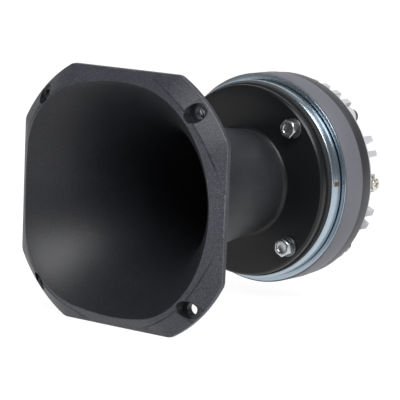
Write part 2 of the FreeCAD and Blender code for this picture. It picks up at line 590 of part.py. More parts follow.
def buildDiaphragm():
    """Dome, former and winding move together. The surround joins them to the ring."""
    dome = newBody("diaphragm_dome")
    outer = "dims.domeRadius"
    inner = "(dims.domeRadius - dims.domeWall)"
    innerR = "sqrt(%s ^ 2 - (%s - %s) ^ 2)" % (inner, DOME_BASE, DOME_CENTRE)
    turned(dome, "domeShell", [
        (FORMER_R, DOME_BASE), ("0", sphereY(outer, "0"), outer, 1), ("0", sphereY(inner, "0")),
        (innerR, DOME_BASE, inner, -1)])

    former = newBody("voice_coil_former")
    bore, low = "dims.coilBore / 2", "(%s - dims.formerLength)" % DOME_BASE
    turned(former, "formerTube", [(bore, low), (FORMER_R, low), (FORMER_R, DOME_BASE),
                                  (bore, DOME_BASE)])

    winding = newBody("voice_coil_winding")
    middle = "(%s - dims.topPlateThickness / 2)" % TOP_REAR
    low = "(%s - dims.windingHeight / 2)" % middle
    high = "(%s + dims.windingHeight / 2)" % middle
    wide = "(%s + dims.windingBuild)" % FORMER_R
    turned(winding, "windingTurns", [(FORMER_R, low), (wide, low), (wide, high), (FORMER_R, high)])

    surround = newBody("surround")
    wall, roll, half = "dims.surroundWall", "dims.surroundRoll", "dims.surroundRollWidth / 2"
    middle = "(dims.ringBore / 2 - dims.surroundInset - %s)" % half
    depth = "sqrt(%s ^ 2 - (%s) ^ 2)" % (roll, half)
    innerHalf = "sqrt((%s - %s) ^ 2 - (%s - %s) ^ 2)" % (roll, wall, depth, wall)
    top = "(%s + %s)" % (DOME_BASE, wall)
    start, end = "(%s + dims.bondGap)" % FORMER_R, "(dims.ringLedge / 2 - dims.bondGap)"
    turned(surround, "surroundRing", [
        (start, DOME_BASE), ("(%s - %s)" % (middle, innerHalf), DOME_BASE),
        ("(%s + %s)" % (middle, innerHalf), DOME_BASE, "%s - %s" % (roll, wall), -1),
        (end, DOME_BASE), (end, top), ("(%s + %s)" % (middle, half), top),
        ("(%s - %s)" % (middle, half), top, roll, 1), (start, top)])


def buildDiaphragmRing():
    """Ring that carries the surround, its screws and its dowels."""
    body = newBody("diaphragm_ring")
    bore, ledge, wide = "dims.ringBore / 2", "dims.ringLedge / 2", "dims.ringWidth / 2"
    turned(body, "ringTurned", [(bore, TOP_REAR), (wide, TOP_REAR), (wide, RING_TOP),
                                (ledge, RING_TOP), (ledge, DOME_BASE), (bore, DOME_BASE)])
    headSeat = "(%s - dims.ringScrewHeadHeight - dims.headRecess)" % RING_TOP
    holes(body, "ringScrewHoles", "dims.ringScrewCircle",
          "dims.ringScrewThread / 2 + dims.boltClearance", "45", ahead(TOP_REAR), behind(RING_TOP))
    holes(body, "ringScrewSinks", "dims.ringScrewCircle",
          "dims.ringScrewHead / 2 + dims.boltClearance", "45", headSeat, behind(RING_TOP))
    holes(body, "ringDowelHoles", "dims.ringScrewCircle", "dims.dowelWidth / 2 + dims.bondGap", "90",
          ahead(TOP_REAR), behind(RING_TOP), count=2)
    fastenerGroup("ring_screws", "dims.ringScrewCircle", "45", [
        (headSeat, "dims.ringScrewHeadHeight", circle, ["dims.ringScrewHead / 2"]),
        ("(%s - dims.ringScrewLength)" % headSeat, "dims.ringScrewLength", circle,
         ["(dims.ringScrewThread / 2 - dims.threadClearance)"])])
    fastenerGroup("dowel_pins", "dims.ringScrewCircle", "90", [
        ("(%s - dims.dowelDepth)" % TOP_REAR,
         "dims.dowelDepth + dims.ringThickness - dims.dowelRecess", circle,
         ["(dims.dowelWidth / 2 - dims.dowelFit)"])], count=2)


def finBlade(body, name, pitches):
    """One radial fin, a number of pitches round from +X."""
    sketch = newSketch(body, name + "Outline", "XY_Plane", turn="%d * dims.finPitch" % pitches)
    wide, hub = "dims.finWidth / 2", ahead("dims.coverHub / 2")
    inside, crownR = "(dims.coverCavity / 2 + dims.finSink)", CROWN_R
    flange = "(%s + dims.coverFlangeThickness - dims.finSink)" % COVER_BASE
    side = "(%s + dims.finSideHeight)" % TOP_REAR
    crown = "(%s + dims.finCrownHeight)" % TOP_REAR
    buried, foot = behind(CAVITY_END), behind(RING_TOP)
    clear = behind("dims.ringWidth / 2 + dims.seatGap")
    outline(sketch, [
        (inside, foot), (clear, foot), (clear, flange), (wide, flange),
        (wide, "(%s - dims.finCorner)" % side),
        ("(%s - dims.finCorner)" % wide, side, "dims.finCorner", 1),
        (crownR, "(%s + dims.finCorner)" % side),
        ("(%s - dims.finShoulder)" % crownR, "(%s - dims.finSink)" % crown), (hub, crown),
        (hub, buried), (inside, buried)])
    pad = extruded(body, name, sketch, "dims.finThickness", midplane=True)
    pad.Refine = False
    return pad


def finRow(body, name, blades, count):
    """Copies of the blades, one pitch apart."""
    row = roundArray(body, name, blades, count)
    row.Refine = False
    row.setExpression("Angle", "%d * dims.finPitch" % (count - 1))
    doc.recompute()


def buildRearCover():
    """Die-cast cover: a chamber for the dome, cooling fins, screw bosses and terminal pads."""
    body = newBody("rear_cover")
    wide, wall = "dims.coverWidth / 2", "dims.coverWallWidth / 2"
    crown, hub = CROWN_R, "dims.coverHub / 2"
    flangeY = "(%s + dims.coverFlangeThickness)" % COVER_BASE
    wallY = "(%s + dims.coverWallHeight)" % TOP_REAR
    roofY = "(%s + dims.coverRoof)" % CAVITY_END
    hubY = "(%s + dims.hubRise)" % roofY
    turned(body, "coverOutside", [
        ("0", COVER_BASE), (wide, COVER_BASE), (wide, "(%s - dims.coverFlangeChamfer)" % flangeY),
        ("(%s - dims.coverFlangeChamfer)" % wide, flangeY), (wall, flangeY),
        ("(%s - dims.coverWallDraft)" % wall, wallY), (crown, "(%s + dims.coverShoulder)" % wallY),
        ("(%s - dims.crownBevel)" % crown, roofY), (hub, roofY),
        ("(%s - dims.hubBevel)" % hub, hubY), ("0", hubY)])
    boss = newSketch(body, "screwBoss", "XZ_Plane", "-(%s)" % COVER_BASE)
    x = "dims.coverScrewCircle / 2 * cos(45 * 1deg)"
    circle(boss, x, x, "dims.coverBoss / 2")
    bossPad = extruded(body, "screwBossPad", boss, "%s - %s" % (BOSS_TOP, COVER_BASE), backward=True)
    roundArray(body, "screwBosses", [bossPad], 4)
    sunk = newSketch(body, "bossSeat", "XZ_Plane", "-(%s)" % BOSS_TOP)
    circle(sunk, x, x, "dims.coverScrewHead / 2 + dims.coverScrewSeatGap")
    seat = extruded(body, "bossSeatCut", sunk, "dims.coverWallHeight", cut=True)
    roundArray(body, "bossSeats", [seat], 4)

    pad = newSketch(body, "terminalPad", "XZ_Plane", "-(%s)" % COVER_BASE)
    rectangle(pad, behind("dims.coverCavity / 2"), "dims.terminalPadReach",
              "-dims.terminalPadWidth / 2", "dims.terminalPadWidth / 2")
    padTop = "(%s + dims.bushWidth / 2 + dims.terminalPadMargin)" % TERMINAL_Y
    padBlock = extruded(body, "terminalPadBlock", pad, "%s - %s" % (padTop, COVER_BASE), backward=True)
    roundArray(body, "terminalPads", [padBlock], 2)

    # Chamber over the dome, and the wider seat over the diaphragm ring
    seatR, cavity = "(dims.ringWidth / 2 + dims.seatGap)", "dims.coverCavity / 2"
    bevel, chamferR = "dims.cavityChamfer", "(dims.coverCavity / 2 - dims.cavityChamfer)"
    turned(body, "chamber", [
        ("0", ahead(COVER_BASE)), (seatR, ahead(COVER_BASE)), (seatR, RING_TOP),
        (cavity, RING_TOP), (cavity, "(%s - %s)" % (CAVITY_END, bevel)), (chamferR, CAVITY_END),
        ("0", CAVITY_END)], cut=True)
    flat = newSketch(body, "lugSeat", "XZ_Plane", "-(%s)" % RING_TOP)
    rectangle(flat, ahead(cavity), "dims.terminalSeat", "-dims.lugWidth / 2 - dims.lugMargin",
              "dims.lugWidth / 2 + dims.lugMargin")
    lugTop = "(%s + dims.terminalNutFlats / sqrt(3) + dims.lugMargin)" % TERMINAL_Y
    seatCut = extruded(body, "lugSeatCut", flat, "%s - %s" % (lugTop, RING_TOP), cut=True)
    roundArray(body, "lugSeats", [seatCut], 2)
    screwHole = "dims.coverScrewThread / 2 + dims.boltClearance"
    holes(body, "coverScrewHoles", "dims.coverScrewCircle", screwHole, "45", ahead(COVER_BASE),
          behind(BOSS_TOP))
    bore = newSketch(body, "terminalBore", "YZ_Plane")
    circle(bore, TERMINAL_Y, "0", "dims.bushBody / 2 + dims.bondGap")
    extruded(body, "terminalBores", bore, "dims.flangeWidth", cut=True, midplane=True)

    # Long rows of fins over the top and the bottom, and pairs between the terminals and the screws
    finRow(body, "longFins", [finBlade(body, "longFin%d" % first, first) for first in LONG_ROWS], 9)
    finRow(body, "shortFins", [finBlade(body, "shortFin%d" % first, first) for first in SHORT_ROWS], 2)

    gasket = newBody("cover_gasket")
    rim = "(%s - dims.gasketInset)" % wide
    turned(gasket, "coverGasketRing", [(seatR, TOP_REAR), (rim, TOP_REAR), (rim, COVER_BASE),
                                       (seatR, COVER_BASE)])
    holes(gasket, "coverGasketHoles", "dims.coverScrewCircle", screwHole, "45", ahead(TOP_REAR),
          behind(COVER_BASE))

    felt = newBody("damping_pad")
    rim = "(%s - dims.padMargin)" % chamferR
    low = "(%s - dims.padThickness)" % CAVITY_END
    turned(felt, "feltDisc", [("0", low), (rim, low), (rim, CAVITY_END), ("0", CAVITY_END)])

    fastenerGroup("cover_screws", "dims.coverScrewCircle", "45", [
        ("(%s - dims.coverScrewLength)" % BOSS_TOP, "dims.coverScrewLength", circle,
         ["(dims.coverScrewThread / 2 - dims.threadClearance)"]),
        (BOSS_TOP, "dims.coverScrewHeadHeight", circle, ["dims.coverScrewHead / 2"])])


def acrossAxis(body, name, levels, side):
    """Steps of a terminal laid along X. Each level is (from, to, outline, sizes)."""
    for index, (near, far, shape, sizes) in enumerate(levels):
        offset = near if side > 0 else "-(%s)" % far
        sketch = newSketch(body, "%sStep%d" % (name, index), "YZ_Plane", offset)
        shape(sketch, TERMINAL_Y, "0", *sizes)
        extruded(body, "%sStepPad%d" % (name, index), sketch, "(%s) - (%s)" % (far, near))


def buildTerminals():
    """Two opposite terminals: bush, clamp washer and screw outside, lug and nut inside."""
    face = "dims.terminalPadReach"
    flangeX = "(%s + dims.bushFlange)" % face
    washerX = "(%s + dims.clampWasherThickness)" % flangeX
    headX = "(%s + dims.terminalHeadHeight)" % washerX
    inside = "dims.terminalSeat"
    lugX = "(%s - dims.lugThickness)" % inside
    nutX = "(%s - dims.terminalNutHeight)" % lugX
    shank = "(dims.terminalThread / 2 - dims.threadClearance)"
    bore = "dims.terminalThread / 2"
    for side, word in ((1, "right"), (-1, "left")):
        acrossAxis(newBody("terminal_bush_" + word), "bush" + word, [
            (face, flangeX, ring, ["dims.bushWidth / 2", bore]),
            (inside, face, ring, ["dims.bushBody / 2", bore])], side)
        acrossAxis(newBody("clamp_washer_" + word), "washer" + word, [
            (flangeX, washerX, ring, ["dims.clampWasher / 2", bore])], side)
        acrossAxis(newBody("terminal_screw_" + word), "screw" + word, [
            (nutX, washerX, circle, [shank]),
            (washerX, headX, circle, ["dims.terminalHead / 2"])], side)
        acrossAxis(newBody("terminal_nut_" + word), "nut" + word, [
            (nutX, lugX, nutOutline, [bore])], side)
        lug = newBody("solder_lug_" + word)
        acrossAxis(lug, "lug" + word, [(lugX, inside, lugOutline, [bore])], side)
        lead = newBody("lead_strip_" + word)
        strip = newSketch(lead, "strip" + word, "XY_Plane")
        foot = "(dims.ringLedge / 2 - dims.leadInset)"
        low = "(%s + dims.surroundWall)" % DOME_BASE
        high = "(%s - dims.lugTag + dims.leadThickness)" % TERMINAL_Y
        steps = [("(%s - dims.leadThickness)" % foot, low), (foot, low),
                 (foot, "(%s - dims.leadThickness)" % high), (lugX, "(%s - dims.leadThickness)" % high),
                 (lugX, high), ("(%s - dims.leadThickness)" % foot, high)]
        if side < 0:
            steps = [("-(%s)" % x, y) for x, y in reversed(steps)]
        outline(strip, steps)
        extruded(lead, "stripPad" + word, strip, "dims.leadWidth", midplane=True)


def nutOutline(sketch, x, y, bore):
    hexagon(sketch, x, y, "dims.terminalNutFlats")
    circle(sketch, x, y, bore)


def lugOutline(sketch, x, y, bore):
    """Round eye with a short tag towards the diaphragm."""
    half, eye = "dims.lugWidth / 2", "dims.lugWidth / 2"
    tag = "(%s - dims.lugTag)" % x
    outline(sketch, [
        (x, "%s + %s" % (y, half)), (tag, "%s + %s" % (y, half)), (tag, "%s - %s" % (y, half)),
        (x, "%s - %s" % (y, half)), ("%s + %s" % (x, eye), y, eye, 1),
        (x, "%s + %s" % (y, half), eye, 1)][1:])
    circle(sketch, x, y, bore)


buildHorn()
buildHornFasteners()
buildGasket()
buildMagnetSystem()
buildPhasePlug()
buildDiaphragm()
buildDiaphragmRing()
buildRearCover()
buildTerminals()
doc.recompute()

for item in doc.Objects:
    if "Invalid" in item.State or "Error" in item.State:
        raise RuntimeError("%s did not build: %s" % (item.Name, item.State))
for body in doc.findObjects("PartDesign::Body"):
    if body.Shape.isNull() or not body.Shape.isValid():
        raise RuntimeError("%s has no valid shape" % body.Label)
    body.Shape.exportStep(os.path.join("parts", body.Label + ".step"))
    print("%-22s %d solids %10.1f mm3" % (body.Label, len(body.Shape.Solids), body.Shape.Volume))
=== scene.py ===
import math
import bmesh
import bpy
from mathutils import Matrix, Vector


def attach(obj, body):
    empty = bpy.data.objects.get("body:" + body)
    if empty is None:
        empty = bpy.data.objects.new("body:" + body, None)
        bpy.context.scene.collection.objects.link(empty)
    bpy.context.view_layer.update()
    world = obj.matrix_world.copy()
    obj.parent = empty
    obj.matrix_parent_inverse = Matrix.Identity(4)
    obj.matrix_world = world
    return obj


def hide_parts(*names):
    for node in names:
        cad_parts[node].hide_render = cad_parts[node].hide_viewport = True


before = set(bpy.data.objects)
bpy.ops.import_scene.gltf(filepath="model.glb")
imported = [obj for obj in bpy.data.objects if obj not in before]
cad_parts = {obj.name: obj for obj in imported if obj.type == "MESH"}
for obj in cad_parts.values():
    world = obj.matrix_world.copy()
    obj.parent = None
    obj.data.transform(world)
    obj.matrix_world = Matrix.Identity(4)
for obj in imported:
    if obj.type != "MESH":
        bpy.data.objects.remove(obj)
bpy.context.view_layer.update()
mm = 0.001


def toLinear(hexColour):
    parts = [int(hexColour[i:i + 2], 16) / 255 for i in (1, 3, 5)]
    return [c / 12.92 if c <= 0.04045 else ((c + 0.055) / 1.055) ** 2.4 for c in parts] + [1.0]


def deselectAll():
    if bpy.context.mode != "OBJECT":
        bpy.ops.object.mode_set(mode="OBJECT")
    bpy.ops.object.select_all(action="DESELECT")


def selectOnly(piece):
    deselectAll()
    piece.select_set(True)
    bpy.context.view_layer.objects.active = piece


def pickRing(piece, radius, depth):
    # selects the closed edge loop of a turned piece that runs at this radius and depth
    mesh = bmesh.from_edit_mesh(piece.data)
    bpy.context.tool_settings.mesh_select_mode = (False, True, False)
    for edge in mesh.edges:
        edge.select_set(all(abs(math.hypot(v.co.x, v.co.z) / mm - radius) < 0.02
                            and abs(v.co.y / mm - depth) < 0.02 for v in edge.verts))
    bmesh.update_edit_mesh(piece.data)


def pulledLine(name, points):
    # one vertex is pulled along the points, in millimetres, and left in edit mode
    deselectAll()
    bpy.ops.mesh.primitive_plane_add(size=mm)
    piece = bpy.context.object
    piece.name = piece.data.name = name
    bpy.ops.object.mode_set(mode="EDIT")
    bpy.context.tool_settings.mesh_select_mode = (True, False, False)
    bpy.ops.mesh.select_all(action="SELECT")
    bpy.ops.mesh.merge(type="CENTER")
    places = [Vector(p) * mm for p in points]
    bpy.ops.transform.translate(value=places[0])
    for before, after in zip(places, places[1:]):
        bpy.ops.mesh.extrude_region_move(TRANSFORM_OT_translate={"value": after - before})
    return piece


def closeMesh():
    bpy.ops.mesh.select_all(action="SELECT")
    bpy.ops.mesh.remove_doubles(threshold=0.002 * mm)
    bpy.ops.mesh.normals_make_consistent(inside=False)


def turnedPiece(name, profile, rounded=(), segments=144):
    # the closed profile of (radius, depth) is spun about the horn's axis; rounded edges are
    # (radius, depth, width) and are bevelled as whole rings
    points = [(r, y, 0) for r, y in profile]
    piece = pulledLine(name, points + points[:1])
    bpy.ops.mesh.select_all(action="SELECT")
    bpy.ops.mesh.spin(steps=segments, angle=2 * math.pi, center=(0, 0, 0), axis=(0, 1, 0))
    closeMesh()
    for radius, depth, width in rounded:
        pickRing(piece, radius, depth)
        bpy.ops.mesh.bevel(offset=width * mm, segments=3, profile=0.5)
    bpy.ops.object.mode_set(mode="OBJECT")
    return piece


def applyModifier(piece, kind, **settings):
    selectOnly(piece)
    modifier = piece.modifiers.new(kind.lower(), kind)
    for key, value in settings.items():
        setattr(modifier, key, value)
    bpy.ops.object.modifier_apply(modifier=modifier.name)


def cut(piece, cutter, operation="DIFFERENCE"):
    applyModifier(piece, "BOOLEAN", operation=operation, object=cutter, solver="EXACT")
    bpy.data.objects.remove(cutter)


def joined(pieces, name):
    deselectAll()
    for piece in pieces:
        piece.select_set(True)
    bpy.context.view_layer.objects.active = pieces[0]
    if len(pieces) > 1:
        bpy.ops.object.join()
    pieces[0].name = pieces[0].data.name = name
    return pieces[0]


def finished(piece, material, slot, *nodes, smooth=32):
    selectOnly(piece)
    bpy.ops.object.transform_apply(location=True, rotation=True, scale=True)
    bpy.ops.object.shade_smooth_by_angle(angle=math.radians(smooth))
    piece.data.materials.clear()
    piece.data.materials.append(material)
    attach(piece, "driver")
    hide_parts(*nodes)
    return piece


def newMaterial(name):
    material = bpy.data.materials.new(name)
    material.use_nodes = True
    material.node_tree.nodes.clear()
    return material, material.node_tree


def addNode(tree, kind, settings=None, links=None):
    # names that the node has are set on it, all others are its sockets
    node = tree.nodes.new(kind)
    for key, value in (settings or {}).items():
        if isinstance(key, str) and hasattr(node, key):
            setattr(node, key, value)
        else:
            node.inputs[key].default_value = value
    for key, source in (links or {}).items():
        tree.links.new(source, node.inputs[key])
    return node


def makeCoat(name, colour, fleck, roughness, grit, bump):
    # polyester powder coat on cast aluminium: a black film with fine grey flecks and a sandy skin
    material, tree = newMaterial(name)
    place = addNode(tree, "ShaderNodeTexCoord")
    fine = addNode(tree, "ShaderNodeTexNoise", {"Scale": 1 / (grit * mm), "Detail": 3.0,
                   "Roughness": 0.6}, {"Vector": place.outputs["Object"]})
    cloud = addNode(tree, "ShaderNodeTexNoise", {"Scale": 45.0, "Detail": 2.0},
                    {"Vector": place.outputs["Object"]})
    share = addNode(tree, "ShaderNodeMapRange", {"From Min": 0.4, "From Max": 0.7},
                    {"Value": fine.outputs["Fac"]})
    tint = addNode(tree, "ShaderNodeMix", {"data_type": "RGBA", 6: toLinear(colour), 7: toLinear(fleck)},
                   {0: share.outputs[0]})
    clouded = addNode(tree, "ShaderNodeMapRange", {"From Min": 0.3, "From Max": 0.7, "To Min": 0.9,
                      "To Max": 1.08}, {"Value": cloud.outputs["Fac"]})
    shaded = addNode(tree, "ShaderNodeMix", {"data_type": "RGBA", "blend_type": "MULTIPLY", 0: 1.0},
                     {6: tint.outputs[2], 7: clouded.outputs[0]})
    raised = addNode(tree, "ShaderNodeBump", {"Distance": 0.3 * mm, "Strength": bump},
                     {"Height": fine.outputs["Fac"]})
    shader = addNode(tree, "ShaderNodeBsdfPrincipled", {"IOR": 1.45, "Roughness": roughness,
                     "Specular IOR Level": 0.4},
                     {"Base Color": shaded.outputs[2], "Normal": raised.outputs[0]})
    addNode(tree, "ShaderNodeOutputMaterial", links={"Surface": shader.outputs[0]})
    return material


def makeMetal(name, colour, tint, roughness, metallic, grain, bump, turning=0.0, blotch=30.0):
    # a metal with fine grain and a slow tint; where it was turned, both run in fine rings
    material, tree = newMaterial(name)
    place = addNode(tree, "ShaderNodeTexCoord")
    vector = place.outputs["Object"]
    if turning:
        spot = addNode(tree, "ShaderNodeSeparateXYZ", links={0: vector})
        flat = addNode(tree, "ShaderNodeCombineXYZ", {}, {"X": spot.outputs["X"], "Z": spot.outputs["Z"]})
        radius = addNode(tree, "ShaderNodeVectorMath", {"operation": "LENGTH"}, {0: flat.outputs[0]})
        line = addNode(tree, "ShaderNodeCombineXYZ", {}, {"X": radius.outputs["Value"],
                                                          "Y": spot.outputs["Y"]})
        vector = line.outputs[0]
        grain = turning
    fine = addNode(tree, "ShaderNodeTexNoise", {"Scale": 1 / (grain * mm), "Detail": 3.0},
                   {"Vector": vector})
    slow = addNode(tree, "ShaderNodeTexNoise", {"Scale": blotch, "Detail": 3.0}, {"Vector": vector})
    share = addNode(tree, "ShaderNodeMapRange", {"From Min": 0.35, "From Max": 0.7},
                    {"Value": slow.outputs["Fac"]})
    shade = addNode(tree, "ShaderNodeMix", {"data_type": "RGBA", 6: toLinear(colour), 7: toLinear(tint)},
                    {0: share.outputs[0]})
    gloss = addNode(tree, "ShaderNodeMapRange", {"To Min": roughness - 0.05, "To Max": roughness + 0.08},
                    {"Value": fine.outputs["Fac"]})
    raised = addNode(tree, "ShaderNodeBump", {"Distance": 0.2 * mm, "Strength": bump},
                     {"Height": fine.outputs["Fac"]})
    shader = addNode(tree, "ShaderNodeBsdfPrincipled", {"Metallic": metallic},
                     {"Base Color": shade.outputs[2], "Roughness": gloss.outputs[0],
                      "Normal": raised.outputs[0]})
    addNode(tree, "ShaderNodeOutputMaterial", links={"Surface": shader.outputs[0]})
    return material


def makePlain(name, colour, speck, roughness, grain, bump, ior=1.5, low=0.5, high=0.75):
    # a moulded, pressed or ground surface: two close tones in a fine grain
    material, tree = newMaterial(name)
    place = addNode(tree, "ShaderNodeTexCoord")
    fine = addNode(tree, "ShaderNodeTexNoise", {"Scale": 1 / (grain * mm), "Detail": 4.0},
                   {"Vector": place.outputs["Object"]})
    share = addNode(tree, "ShaderNodeMapRange", {"From Min": low, "From Max": high},
                    {"Value": fine.outputs["Fac"]})
    shade = addNode(tree, "ShaderNodeMix", {"data_type": "RGBA", 6: toLinear(colour), 7: toLinear(speck)},
                    {0: share.outputs[0]})
    gloss = addNode(tree, "ShaderNodeMapRange", {"To Min": roughness - 0.06, "To Max": roughness + 0.06},
                    {"Value": fine.outputs["Fac"]})
    raised = addNode(tree, "ShaderNodeBump", {"Distance": 0.2 * mm, "Strength": bump},
                     {"Height": fine.outputs["Fac"]})
    shader = addNode(tree, "ShaderNodeBsdfPrincipled", {"IOR": ior},
                     {"Base Color": shade.outputs[2], "Roughness": gloss.outputs[0],
                      "Normal": raised.outputs[0]})
    addNode(tree, "ShaderNodeOutputMaterial", links={"Surface": shader.outputs[0]})
    return material


# polyester powder coat with grit of about 0.3 mm, drawn at 0.6 mm so that it shows: a dark grey skin
# that glints in fine points
sandyCoat = makeCoat("sandyPowderCoat", "#25262B", "#50515A", 0.48, 0.6, 0.45)
# the same coat without much grit in the bell and the counterbores, blacker as painted shade in these
# hollows: with a wide soft sheen
bellCoatPaintedShade = makeCoat("smoothBellCoatPaintedShade", "#15161A", "#2C2D33", 0.43, 0.6, 0.2)
# thin smooth coat on the driver flange's disc, almost black as painted shade from the horn's flange, with a
# sharper sheen
discCoatPaintedShade = makeCoat("satinDiscCoatPaintedShade", "#101113", "#18191C", 0.34, 0.6, 0.06)
# fine grit on the neck and the bell's outside: matt, between the face and the driver flange
neckCoat = makeCoat("fineNeckCoat", "#26272A", "#404146", 0.46, 0.6, 0.25)
# coat rubbed smooth on the rim's front edge, its lighter colour a painted highlight: a thin lighter line
rubbedCoatPaintedHighlight = makeCoat("rubbedEdgePaintedHighlight", "#4A4B51", "#62636A", 0.32, 0.6, 0.1)
# blue passivated zinc on a turned plate, the marks of 0.2 mm drawn at 0.7 mm: a bluish dull mirror
zincPlate = makeMetal("brightZincPlate", "#BAC4CC", "#97A7B4", 0.24, 1.0, 1.2, 0.03, turning=0.7)
# clear passivated zinc on cold-formed bolts: bright, slightly grainy
zincFastener = makeMetal("zincFasteners", "#CDD0D3", "#AEB1B5", 0.26, 1.0, 0.8, 0.08)
# zinc on stamped washers, duller than the bolts and greyer as painted shade under the bolt heads
dullZincPaintedShade = makeMetal("washerZincPaintedShade", "#83868A", "#6E7073", 0.4, 1.0, 0.8, 0.06)
# the groove's zinc has worn off and the steel has browned: dark brown and matt
brownedSteel = makePlain("brownedSteelGroove", "#2B1D18", "#3A2822", 0.5, 0.6, 0.1)
# turned soft iron with tool marks of 0.2 mm drawn at 0.4 mm: grey with a satin gleam
softIron = makeMetal("turnedSoftIron", "#A7A6A3", "#8E8C88", 0.35, 1.0, 0.8, 0.05, turning=0.4)
# ferrite ground on its outside: a matt, even bluish grey
groundFerrite = makePlain("groundFerrite", "#6C6D75", "#7A7B83", 0.55, 0.7, 0.1)
# chemically blackened turned steel: dark grey with a weak gleam
blackSteel = makeMetal("blackenedSteel", "#56565A", "#434347", 0.42, 0.6, 0.9, 0.04, turning=0.6)
# zinc stained by handling: a small brown patch that still gleams
stainedZinc = makeMetal("stainedZinc", "#8A7560", "#6E5C4B", 0.4, 1.0, 1.2, 0.05)
# die-cast aluminium, shot blasted: pale, frosted, without reflections
castAluminium = makeMetal("shotBlastedAluminium", "#E6E6EA", "#D6D6DC", 0.45, 0.5, 0.8, 0.12)
# thin formed titanium: warm grey and slightly wavy
titaniumFoil = makeMetal("formedTitaniumFoil", "#B5B1AB", "#A09C98", 0.3, 1.0, 1.0, 0.05)
# flat copper wire under clear enamel: orange with a gloss
copperWire = makeMetal("enamelledCopper", "#C98658", "#A8683E", 0.3, 1.0, 0.4, 0.05)
# nickel on turned brass: warm, bright and smooth
nickelPlate = makeMetal("nickelPlate", "#DAD6CD", "#C4BEB2", 0.2, 1.0, 0.8, 0.04)
# stamped brass dipped in tin: pale yellow grey
tinnedBrass = makeMetal("tinnedBrass", "#CFC9B4", "#B9AE8B", 0.3, 1.0, 0.6, 0.05)
# polyimide film: amber and glossy
polyimideFilm = makePlain("polyimideFilm", "#8A5A1E", "#9C6A2C", 0.3, 1.0, 0.02, 1.6)
# moulded phenolic: black with a mild gloss
blackResin = makePlain("mouldedPhenolic", "#1C1C1D", "#262627", 0.45, 0.6, 0.06)
# closed-cell neoprene: dark grey and matt
gasketRubber = makePlain("neopreneGasket", "#232325", "#2E2E30", 0.7, 0.5, 0.2)
# pressed wool felt with fibres of 0.03 mm drawn at 0.6 mm: grey, rough, without gloss
pressedFelt = makePlain("pressedFelt", "#3A3A3B", "#4C4C4D", 0.9, 0.6, 0.5)

carried = {
    "pole_piece": softIron, "phase_plug": blackResin, "diaphragm_dome": titaniumFoil,
    "voice_coil_former": polyimideFilm, "voice_coil_winding": copperWire, "surround": polyimideFilm,
    "diaphragm_ring": castAluminium, "ring_screws": zincFastener, "dowel_pins": softIron,
    "damping_pad": pressedFelt, "terminal_nut_right": nickelPlate, "terminal_nut_left": nickelPlate,
    "solder_lug_right": tinnedBrass, "solder_lug_left": tinnedBrass,
    "lead_strip_right": copperWire, "lead_strip_left": copperWire}
for nodeName, material in carried.items():
    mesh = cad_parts[nodeName].data
    mesh.materials.clear()
    mesh.materials.append(material)
print("materials ready")

# all sizes of the horn are in millimetres; the crease is (distance from its inner edge, depth)
horn = {"half": 74.25, "corner": 83.9, "rim": -3.0, "shoulder": -9.5, "crest": -13.75,
        "shoulderHalf": 66.77, "crestHalf": 60.1, "fillet": 38.7, "lip": 0.9, "rimEdge": 0.8,
        "throat": 25.0, "rear": 119.6, "coneEnd": 66.9, "coneAngle": 7.5, "flare": 138.7,
        "flareY": 85.0, "flareR": 169.45, "wall": 5.5, "creaseRadius": 73.4,
        "creaseEnd": 76.0, "creaseFade": 3.0, "crease": ((0.05, 0.0), (0.4, 0.85), (1.0, 0.3), (2.4, 0.15)),
        "disc": 58.5, "discFront": 113.5, "discChamfer": 1.2, "neckFillet": 2.5, "columns": 240,
        "holes": 55.0, "holeRadius": 3.5, "sunkRadius": 5.5, "sunkFloor": -4.0,
        "boltCircle": 50.8, "boltHole": 3.4}


def roundedSquare(half, fillet, angle):
    # distance from the axis to the outline of a square whose corners are arcs
    c, s = sorted((abs(math.cos(angle)), abs(math.sin(angle))), reverse=True)
    across = half - fillet
    if half * s / c <= across:
        return half / c
    return across * (c + s) + math.sqrt(fillet ** 2 - across ** 2 * (1 - 2 * c * s))


def bellRadius(y, radius):
    return horn["flareR"] - math.sqrt(radius ** 2 - (horn["flareY"] - y) ** 2)


def facePoint(u, feet):
    # one smooth curve from the rim through the shoulder to the crest
    a, b, c = (u - 0.5) * (u - 1) * 2, u * (u - 1) * -4, u * (u - 0.5) * 2
    return tuple(a * feet[0][i] + b * feet[1][i] + c * feet[2][i] for i in (0, 1))


def filletPoints(before, corner, after, radius, steps):
    # points of an arc that rounds one corner of the section
    a, b, c = Vector(before), Vector(corner), Vector(after)
    u, v = (a - b).normalized(), (c - b).normalized()
    half = math.acos(max(-1, min(1, u.dot(v)))) / 2
    reach = min(radius / math.tan(half), 0.8 * (a - b).length, 0.8 * (c - b).length)
    start, end = b + u * reach, b + v * reach
    centre = b + (u + v).normalized() * reach / math.cos(half)
    sweep = []
    for k in range(steps + 1):
        t = k / steps
        d = (start - centre).lerp(end - centre, t).normalized() * (start - centre).length
        sweep.append(tuple(centre + d))
    return sweep


def faceCrossing(feet, inside, high):
    # the place on the face curve where it comes within the radius that inside gives for a depth
    low = 0.0
    for _ in range(30):
        middle = (low + high) / 2
        r, y = facePoint(middle, feet)
        if r > inside(y):
            low = middle
        else:
            high = middle
    return low


def coneRadius(y):
    # the throat widens towards the bell
    return horn["throat"] + (horn["rear"] - y) * math.tan(math.radians(horn["coneAngle"]))


